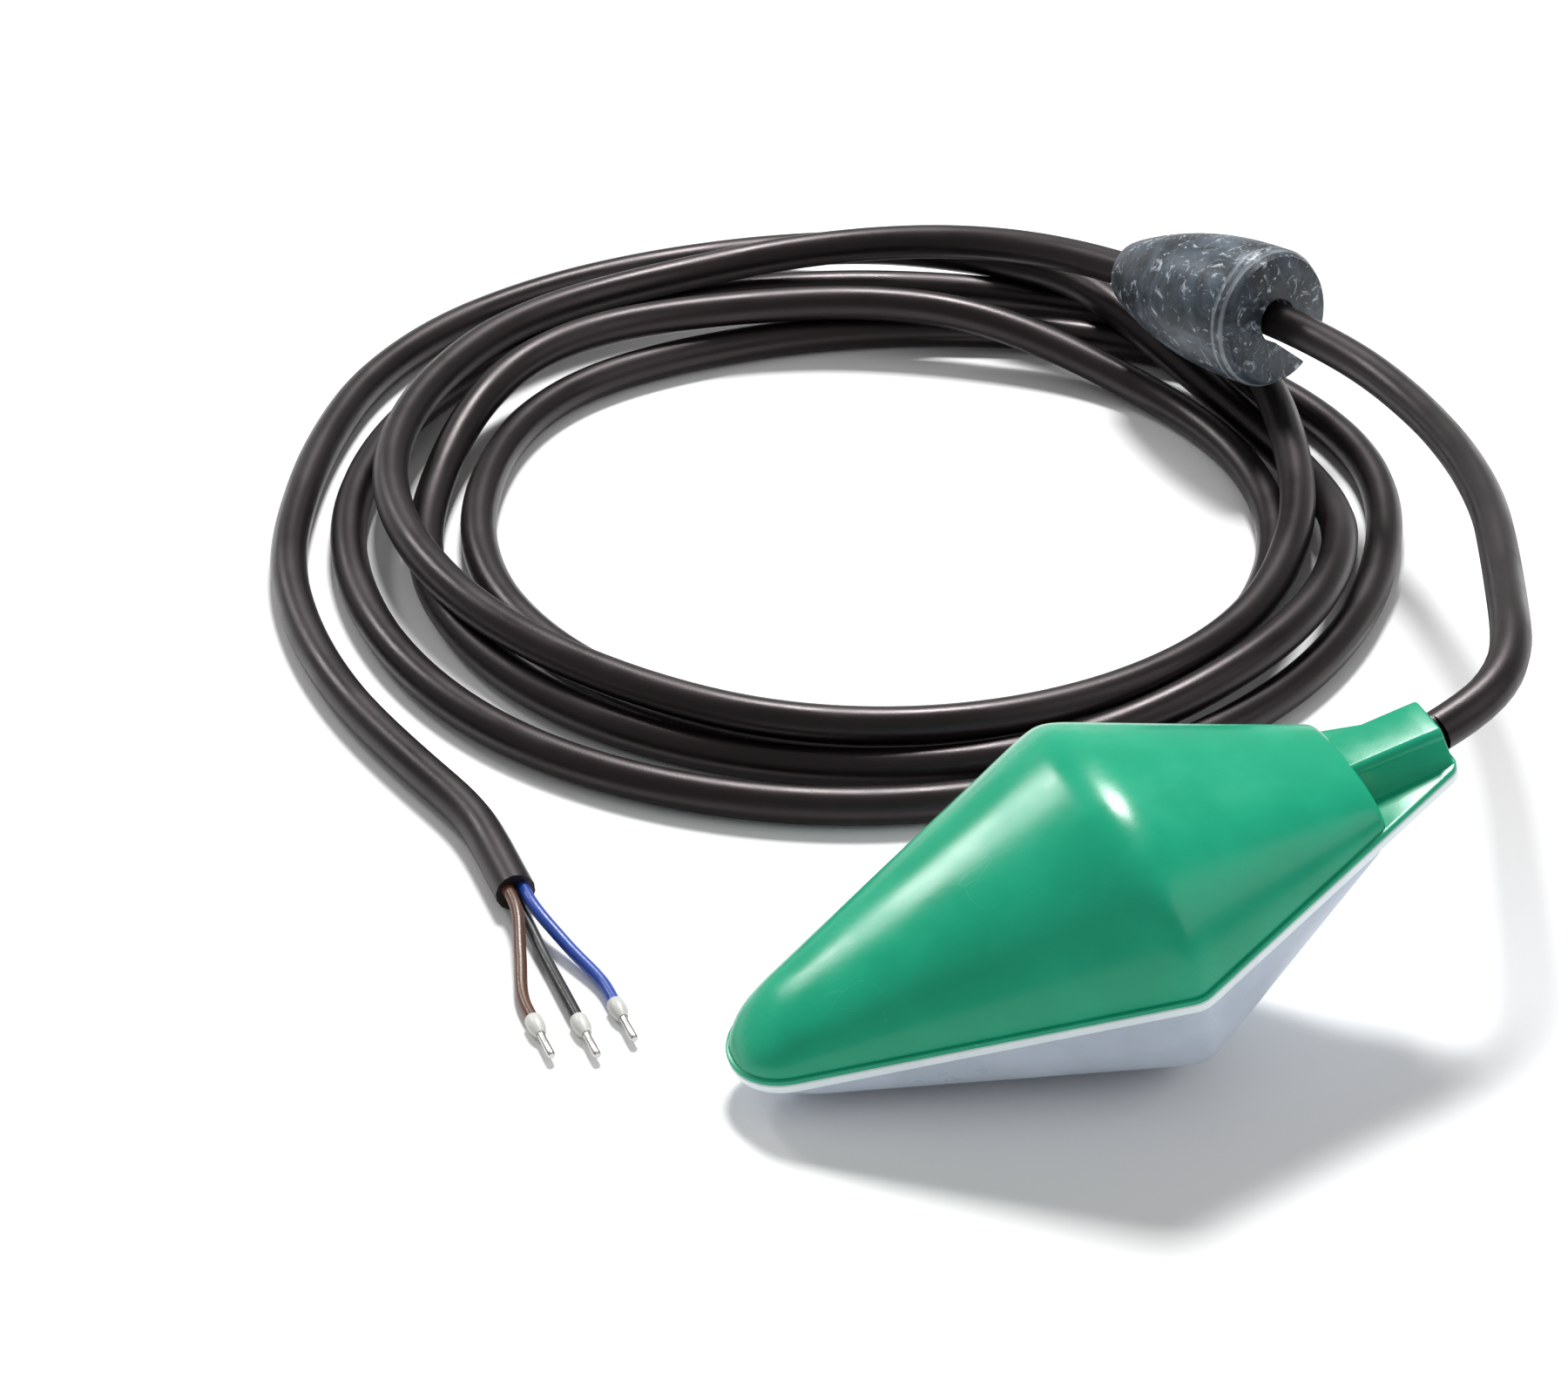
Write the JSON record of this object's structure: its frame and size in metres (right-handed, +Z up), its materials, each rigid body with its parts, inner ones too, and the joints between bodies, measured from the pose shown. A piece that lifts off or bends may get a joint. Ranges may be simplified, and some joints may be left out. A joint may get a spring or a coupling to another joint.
{
  "type": "cable float switch",
  "caption": "Kite-shaped two-shell float with a rolling-ball switch inside, on a coiled black cable that carries a slotted bullet-shaped counterweight.",
  "frame": {"origin": "on the floor under the middle of the float's box, cable not counted", "axes": "+X along the float from nose to neck, +Z up from the floor, +Y towards the coil"},
  "size_m": [0.2915, 0.409, 0.0667],
  "materials": {
    "green_plastic": "glossy green polypropylene",
    "white_plastic": "satin white polypropylene",
    "cable_sheath": "matt black neoprene with a soft sheen",
    "weight_iron": "satin slate grey, rubbed",
    "capsule_plastic": "natural grey",
    "seal_rubber": "matt",
    "steel": "bright",
    "terminal_brass": "bright",
    "core_brown": "satin",
    "core_blue": "satin",
    "core_black": "satin",
    "switch_plastic": "satin black",
    "button_plastic": "satin",
    "collar_plastic": "satin"
  },
  "bodies": {
    "root": {"upper_shell": "green_plastic", "lower_shell": "white_plastic", "switch_housing": "capsule_plastic", "cover_gasket": "seal_rubber", "housing_cover": "capsule_plastic", "cover_screws": "steel", "entry_seal": "seal_rubber", "cable_clamp": "capsule_plastic", "clamp_screws": "steel", "ball_track": "white_plastic", "microswitch_case": "switch_plastic", "lever_pin": "steel", "switch_terminals": "terminal_brass", "switch_screws": "steel", "core_brown": "core_brown", "core_blue": "core_blue", "core_black": "core_black", "cable_entry": "cable_sheath", "cable_lead": "cable_sheath", "counterweight": "weight_iron", "cable_coil": "cable_sheath", "cable_tail": "cable_sheath", "cable_end": "cable_sheath", "lead_brown": "core_brown", "lead_blue": "core_blue", "lead_black": "core_black", "ferrule_collars": "collar_plastic", "ferrule_pins": "steel"},
    "ball": {"steel_ball": "steel"},
    "lever": {"switch_lever": "steel"},
    "button": {"switch_button": "button_plastic"}
  },
  "joints": [
    {"name": "ball_roll", "type": "slide", "parent": "root", "child": "ball", "axis": [0.96, 0, 0.2798], "range_m": [0, 0.013]},
    {"name": "lever_swing", "type": "hinge", "parent": "root", "child": "lever", "pos_m": [0.00534, 0, 0.02456], "axis": [0, 1, 0], "range_deg": [0, 8.02]},
    {"name": "button_press", "type": "slide", "parent": "root", "child": "button", "axis": [0.96, 0, 0.2798], "range_m": [0, 0.00134]}
  ],
  "couplings": [
    {"joint": "lever_swing", "follows": "ball_roll", "rad_per_m": 10.741},
    {"joint": "button_press", "follows": "ball_roll", "ratio": 0.1027}
  ]
}
